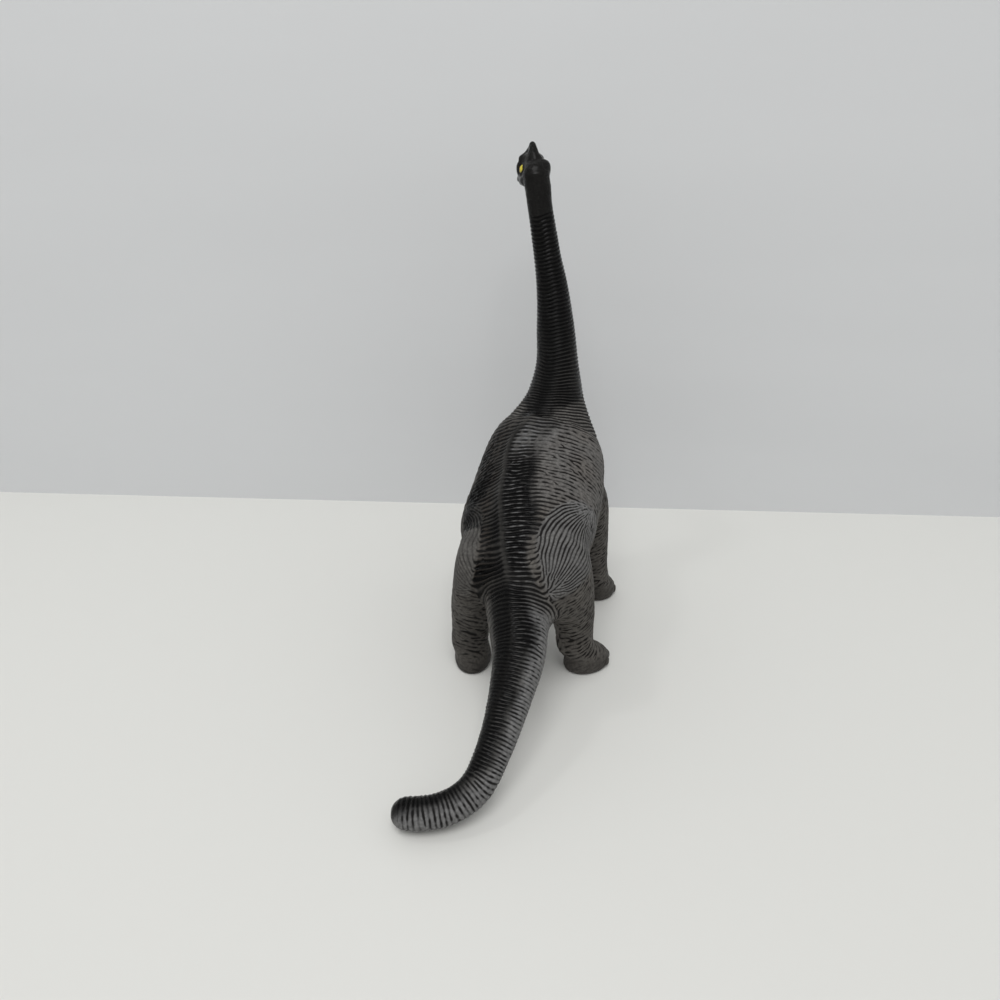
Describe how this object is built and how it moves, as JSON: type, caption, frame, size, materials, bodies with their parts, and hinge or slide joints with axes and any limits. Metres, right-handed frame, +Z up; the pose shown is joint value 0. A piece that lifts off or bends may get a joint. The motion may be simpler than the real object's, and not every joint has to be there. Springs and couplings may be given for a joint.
{
  "type": "toy dinosaur figure",
  "caption": "Standing long-necked dinosaur figure of soft vinyl, with a raised neck, a turned head and a curved tail; stands on flat soles as pretend-play toy.",
  "frame": {"origin": "on the floor under the middle of the figure's outer box", "axes": "+Z up, +Y the way the figure walks, +X its right side"},
  "size_m": [0.084, 0.2436, 0.2384],
  "materials": {
    "torso_left_shell": "matt vinyl, black half-gloss paint in the grooves and along the back line",
    "torso_right_shell": "matt vinyl, black half-gloss paint in the grooves and along the back line",
    "neck": "matt vinyl under a black half-gloss paint",
    "head": "matt vinyl under a black half-gloss paint",
    "eye_left": "glossy yellow",
    "eye_right": "glossy yellow",
    "tail": "matt vinyl, black half-gloss paint along the top",
    "foreleg_left": "matt vinyl, black paint in the grooves",
    "foreleg_right": "matt vinyl, black paint in the grooves",
    "hindleg_left": "matt vinyl, black paint in the grooves",
    "hindleg_right": "matt vinyl, black paint in the grooves"
  },
  "bodies": {
    "root": {"torso_left_shell": "torso_left_shell", "torso_right_shell": "torso_right_shell", "neck": "neck", "head": "head", "eye_left": "eye_left", "eye_right": "eye_right", "tail": "tail", "foreleg_left": "foreleg_left", "foreleg_right": "foreleg_right", "hindleg_left": "hindleg_left", "hindleg_right": "hindleg_right"}
  },
  "joints": []
}
